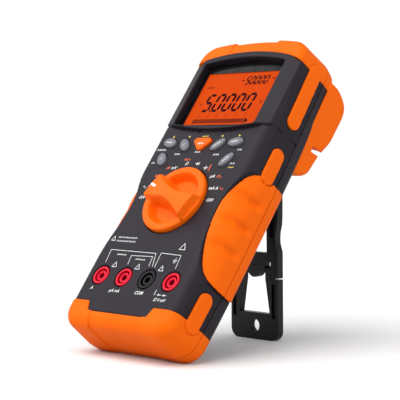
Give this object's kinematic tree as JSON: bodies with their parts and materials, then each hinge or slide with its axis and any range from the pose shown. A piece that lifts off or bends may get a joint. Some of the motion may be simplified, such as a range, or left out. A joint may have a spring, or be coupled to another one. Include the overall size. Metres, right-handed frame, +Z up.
{
  "type": "digital multimeter",
  "caption": "Hand-held digital multimeter leaning back on its folding rear stand: display housing, keys, rotary selector, input jacks, rubber bumpers and battery bay.",
  "frame": {"origin": "centre of the footprint of the leaning meter and its stand, on the surface it stands on", "axes": "+Z up, -Y towards the user in front of the meter, +X to the user's right"},
  "size_m": [0.0944, 0.1462, 0.1771],
  "materials": {
    "case_grey": "fine texture",
    "rubber_orange": "soft satin",
    "lens_clear": "polished",
    "mask_black": "printed",
    "lcd_glass": "polished",
    "backlight_orange": "diffusing",
    "white_plastic": "satin",
    "elastomer": "matt",
    "knob_orange": "satin",
    "mark_white": "satin",
    "key_grey": "satin",
    "key_orange": "satin",
    "jack_red": "gloss",
    "jack_black": "gloss",
    "contact_brass": "plated",
    "board_green": "solder mask",
    "steel": "brushed",
    "shield_tin": "tinned",
    "black_plastic": "satin",
    "battery_can": "lacquered",
    "ceramic": "glazed",
    "window_dark": "translucent",
    "stand_black": "semi-gloss"
  },
  "bodies": {
    "case": {"front_case": "case_grey", "rear_case": "case_grey", "top_bumper_front": "rubber_orange", "top_bumper_rear": "rubber_orange", "bottom_bumper_front": "rubber_orange", "bottom_bumper_rear": "rubber_orange", "grip_right_front": "rubber_orange", "grip_right_rear": "rubber_orange", "grip_left_front": "rubber_orange", "grip_left_rear": "rubber_orange", "display_lens": "lens_clear", "display_mask": "mask_black", "lcd_cell": "lcd_glass", "lcd_backlight": "backlight_orange", "lcd_frame": "white_plastic", "contact_strips": "elastomer", "detent_ring": "white_plastic", "keypad_sheet": "elastomer", "jack_amp": "jack_red", "jack_milliamp": "jack_red", "jack_common": "jack_black", "jack_volt": "jack_red", "jack_sockets": "contact_brass", "main_board": "board_green", "shield_can": "shield_tin", "buzzer": "black_plastic", "infrared_window": "window_dark", "case_screws": "steel", "board_screws": "steel", "battery": "battery_can", "battery_snap": "black_plastic", "fuse_amp": "ceramic", "fuse_milliamp": "ceramic", "fuse_clips": "contact_brass", "stand_pin": "steel"},
    "selector": {"selector_knob": "knob_orange", "pointer_mark": "mark_white", "switch_rotor": "white_plastic", "switch_wipers": "contact_brass", "detent_spring": "steel"},
    "stand": {"stand_frame": "stand_black", "tip_pins": "steel"},
    "tip": {"stand_tip": "stand_black"},
    "cover": {"battery_cover": "case_grey"},
    "stud": {"cover_stud": "steel"},
    "key_first_cap": {"key_first": "key_grey"},
    "key_second_cap": {"key_second": "key_grey"},
    "key_shift_cap": {"key_shift": "key_orange"},
    "key_fourth_cap": {"key_fourth": "key_grey"},
    "key_fifth_cap": {"key_fifth": "key_grey"},
    "key_low_left_cap": {"key_low_left": "key_grey"},
    "key_low_right_cap": {"key_low_right": "key_grey"}
  },
  "joints": [
    {"name": "selector_turn", "type": "hinge", "parent": "case", "child": "selector", "pos_m": [0, -0.02484, 0.08534], "axis": [0, -0.7986, 0.6018], "range_deg": [-160, 20]},
    {"name": "stand_swing", "type": "hinge", "parent": "case", "child": "stand", "pos_m": [0, 0.04188, 0.11307], "axis": [1, 0, 0], "range_deg": [-37, 0]},
    {"name": "tip_bend", "type": "hinge", "parent": "stand", "child": "tip", "pos_m": [0, 0.04188, 0.042], "axis": [1, 0, 0], "range_deg": [0, 90]},
    {"name": "cover_lift", "type": "slide", "parent": "case", "child": "cover", "axis": [0, 0.7986, -0.6018], "range_m": [0, 0.025]},
    {"name": "stud_turn", "type": "hinge", "parent": "cover", "child": "stud", "pos_m": [0, 0.01313, 0.08089], "axis": [0, 0.7986, -0.6018], "range_deg": [0, 90]},
    {"name": "key_first_press", "type": "slide", "parent": "case", "child": "key_first_cap", "axis": [0, 0.7986, -0.6018], "range_m": [0, 0.0008], "stiffness_N_per_m": 1500, "springref_m": -0.0002},
    {"name": "key_second_press", "type": "slide", "parent": "case", "child": "key_second_cap", "axis": [0, 0.7986, -0.6018], "range_m": [0, 0.0008], "stiffness_N_per_m": 1500, "springref_m": -0.0002},
    {"name": "key_shift_press", "type": "slide", "parent": "case", "child": "key_shift_cap", "axis": [0, 0.7986, -0.6018], "range_m": [0, 0.0008], "stiffness_N_per_m": 1500, "springref_m": -0.0002},
    {"name": "key_fourth_press", "type": "slide", "parent": "case", "child": "key_fourth_cap", "axis": [0, 0.7986, -0.6018], "range_m": [0, 0.0008], "stiffness_N_per_m": 1500, "springref_m": -0.0002},
    {"name": "key_fifth_press", "type": "slide", "parent": "case", "child": "key_fifth_cap", "axis": [0, 0.7986, -0.6018], "range_m": [0, 0.0008], "stiffness_N_per_m": 1500, "springref_m": -0.0002},
    {"name": "key_low_left_press", "type": "slide", "parent": "case", "child": "key_low_left_cap", "axis": [0, 0.7986, -0.6018], "range_m": [0, 0.0008], "stiffness_N_per_m": 1500, "springref_m": -0.0002},
    {"name": "key_low_right_press", "type": "slide", "parent": "case", "child": "key_low_right_cap", "axis": [0, 0.7986, -0.6018], "range_m": [0, 0.0008], "stiffness_N_per_m": 1500, "springref_m": -0.0002}
  ]
}
